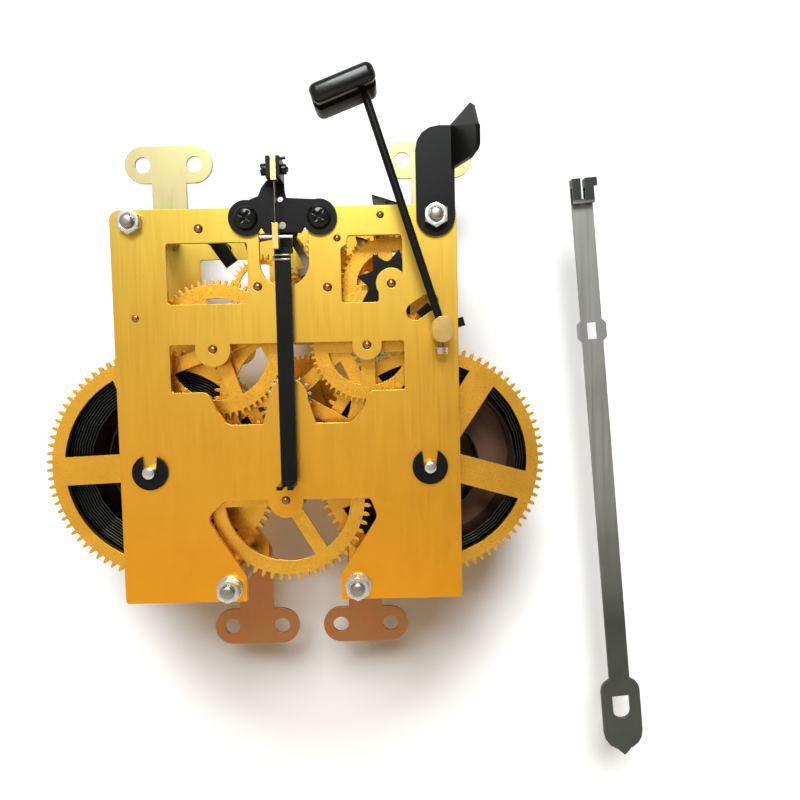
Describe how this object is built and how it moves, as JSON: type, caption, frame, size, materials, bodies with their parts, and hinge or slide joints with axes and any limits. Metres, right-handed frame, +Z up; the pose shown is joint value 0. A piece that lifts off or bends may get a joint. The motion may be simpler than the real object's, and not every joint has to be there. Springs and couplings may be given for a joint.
{
  "type": "longcase clock movement",
  "caption": "Spring-driven striking clock movement with brass plates, open spring barrels, wheel trains, hammer, crutch and mounting feet, with its pendulum leader beside it.",
  "frame": {"origin": "on the hand arbor's axis, in the plane of the feet's dial-side faces, where they seat on the board", "axes": "+Z up, towards twelve o clock; +Y out of the dial side, along the hand arbor; +X to the right, seen from the back plate"},
  "size_m": [0.2332, 0.0944, 0.2674],
  "materials": {
    "brass": "satin rolled sheet",
    "bright_steel": "bright",
    "black_finish": "black, half matt",
    "yellow_zinc": "yellow passivated zinc",
    "grey_steel": "dark tempered steel",
    "moulded_black": "half gloss"
  },
  "bodies": {
    "root": {"back_plate": "brass", "front_plate": "brass", "pillars": "bright_steel", "pillar_nuts": "bright_steel", "mounting_feet": "yellow_zinc", "riveted_posts": "bright_steel", "suspension_bracket": "black_finish", "suspension_top_block": "brass", "plate_screws": "black_finish", "hammer_backstop": "black_finish", "click_springs": "bright_steel"},
    "suspension": {"suspension_spring": "bright_steel", "suspension_lower_block": "brass", "suspension_pin": "bright_steel"},
    "pallet": {"pallet_arbor": "bright_steel", "pallets": "bright_steel", "crutch": "black_finish"},
    "time_great": {"time_great_wheel": "brass", "time_barrel": "black_finish", "time_mainspring": "grey_steel"},
    "time_winding": {"time_winding_arbor": "bright_steel", "time_arbor_clip": "black_finish", "time_ratchet": "bright_steel"},
    "time_click": {"time_click": "bright_steel"},
    "intermediate": {"intermediate_wheel": "brass", "intermediate_arbor": "bright_steel"},
    "centre": {"centre_wheel": "brass", "centre_arbor": "bright_steel", "cannon_pinion": "bright_steel"},
    "third": {"third_wheel": "brass", "third_arbor": "bright_steel"},
    "escape": {"escape_wheel": "brass", "escape_arbor": "bright_steel"},
    "minute": {"minute_wheel": "brass"},
    "hour": {"hour_wheel": "brass"},
    "strike_great": {"strike_great_wheel": "brass", "strike_barrel": "black_finish", "strike_mainspring": "grey_steel"},
    "strike_winding": {"strike_winding_arbor": "bright_steel", "strike_arbor_clip": "black_finish", "strike_ratchet": "bright_steel"},
    "strike_click": {"strike_click": "bright_steel"},
    "strike_second": {"strike_second_wheel": "brass", "strike_second_arbor": "bright_steel"},
    "strike_third": {"strike_third_wheel": "brass", "strike_third_arbor": "bright_steel", "hammer_star": "black_finish"},
    "warning": {"warning_wheel": "brass", "warning_arbor": "bright_steel"},
    "strike_fourth": {"strike_fourth_wheel": "brass", "strike_fourth_arbor": "bright_steel"},
    "fly": {"fly": "black_finish", "fly_arbor": "bright_steel"},
    "hammer": {"hammer_arbor": "bright_steel", "hammer_tail": "black_finish", "hammer_collet": "brass", "hammer_rod": "black_finish", "hammer_head": "moulded_black"},
    "strike_lever": {"strike_lever": "black_finish"},
    "leader": {"pendulum_leader": "grey_steel"}
  },
  "joints": [
    {"name": "third_turn", "type": "hinge", "parent": "root", "child": "third", "pos_m": [-0.0259, -0.0255, 0.0176], "axis": [0, -1, 0], "continuous": true},
    {"name": "escape_turn", "type": "hinge", "parent": "root", "child": "escape", "pos_m": [-0.0095, -0.0255, 0.039], "axis": [0, -1, 0], "continuous": true},
    {"name": "centre_turn", "type": "hinge", "parent": "root", "child": "centre", "pos_m": [0, -0.0255, 0], "axis": [0, -1, 0], "continuous": true},
    {"name": "intermediate_turn", "type": "hinge", "parent": "root", "child": "intermediate", "pos_m": [-0.002, -0.0255, -0.0363], "axis": [0, -1, 0], "continuous": true},
    {"name": "time_great_turn", "type": "hinge", "parent": "root", "child": "time_great", "pos_m": [-0.0493, -0.0255, -0.0252], "axis": [0, -1, 0], "continuous": true},
    {"name": "minute_turn", "type": "hinge", "parent": "root", "child": "minute", "pos_m": [0, -0.0255, -0.018], "axis": [0, -1, 0], "continuous": true},
    {"name": "hour_turn", "type": "hinge", "parent": "root", "child": "hour", "pos_m": [0, -0.0255, 0], "axis": [0, -1, 0], "continuous": true},
    {"name": "warning_turn", "type": "hinge", "parent": "root", "child": "warning", "pos_m": [0.0148, -0.0255, 0.0383], "axis": [0, -1, 0], "continuous": true},
    {"name": "strike_fourth_turn", "type": "hinge", "parent": "root", "child": "strike_fourth", "pos_m": [0.0185, -0.0255, 0.0551], "axis": [0, -1, 0], "continuous": true},
    {"name": "fly_turn", "type": "hinge", "parent": "root", "child": "fly", "pos_m": [0.0336, -0.0255, 0.0628], "axis": [0, -1, 0], "continuous": true},
    {"name": "strike_third_turn", "type": "hinge", "parent": "root", "child": "strike_third", "pos_m": [0.037, -0.0255, 0.0392], "axis": [0, -1, 0], "continuous": true},
    {"name": "strike_second_turn", "type": "hinge", "parent": "root", "child": "strike_second", "pos_m": [0.028, -0.0255, 0.018], "axis": [0, -1, 0], "continuous": true},
    {"name": "strike_great_turn", "type": "hinge", "parent": "root", "child": "strike_great", "pos_m": [0.0493, -0.0255, -0.0252], "axis": [0, -1, 0], "continuous": true},
    {"name": "time_winding_turn", "type": "hinge", "parent": "root", "child": "time_winding", "pos_m": [-0.0493, -0.0255, -0.0252], "axis": [0, -1, 0], "continuous": true},
    {"name": "strike_winding_turn", "type": "hinge", "parent": "root", "child": "strike_winding", "pos_m": [0.0493, -0.0255, -0.0252], "axis": [0, -1, 0], "continuous": true},
    {"name": "time_click_lift", "type": "hinge", "parent": "root", "child": "time_click", "pos_m": [-0.03333, -0.0255, -0.01939], "axis": [0, 1, 0], "range_deg": [0, 7]},
    {"name": "strike_click_lift", "type": "hinge", "parent": "root", "child": "strike_click", "pos_m": [0.03333, -0.0255, -0.01939], "axis": [0, -1, 0], "range_deg": [0, 7]},
    {"name": "pallet_swing", "type": "hinge", "parent": "root", "child": "pallet", "pos_m": [0, -0.0255, 0.0595], "axis": [0, -1, 0], "range_deg": [-3, 3]},
    {"name": "suspension_swing", "type": "hinge", "parent": "root", "child": "suspension", "pos_m": [-0.0014, -0.0255, 0.0731], "axis": [0, -1, 0], "range_deg": [-5, 5]},
    {"name": "hammer_lift", "type": "hinge", "parent": "root", "child": "hammer", "pos_m": [0.0538, -0.0255, 0.0233], "axis": [0, 1, 0], "range_deg": [0, 16]},
    {"name": "strike_lever_lift", "type": "hinge", "parent": "root", "child": "strike_lever", "pos_m": [-0.0294, -0.0255, 0.0592], "axis": [0, -1, 0], "range_deg": [0, 10]},
    {"name": "leader_lift", "type": "slide", "parent": "root", "child": "leader", "axis": [0, 0, 1], "range_m": [0, 0.1]}
  ],
  "couplings": [
    {"joint": "escape_turn", "follows": "third_turn", "ratio": -8.8571},
    {"joint": "centre_turn", "follows": "third_turn", "ratio": -0.13333},
    {"joint": "intermediate_turn", "follows": "third_turn", "ratio": 0.033333},
    {"joint": "time_great_turn", "follows": "third_turn", "ratio": -0.0047619},
    {"joint": "minute_turn", "follows": "third_turn", "ratio": 0.044444},
    {"joint": "hour_turn", "follows": "third_turn", "ratio": -0.011111},
    {"joint": "strike_fourth_turn", "follows": "warning_turn", "ratio": -6},
    {"joint": "fly_turn", "follows": "warning_turn", "ratio": 36},
    {"joint": "strike_third_turn", "follows": "warning_turn", "ratio": -0.2},
    {"joint": "strike_second_turn", "follows": "warning_turn", "ratio": 0.026667},
    {"joint": "strike_great_turn", "follows": "warning_turn", "ratio": -0.0038095}
  ]
}
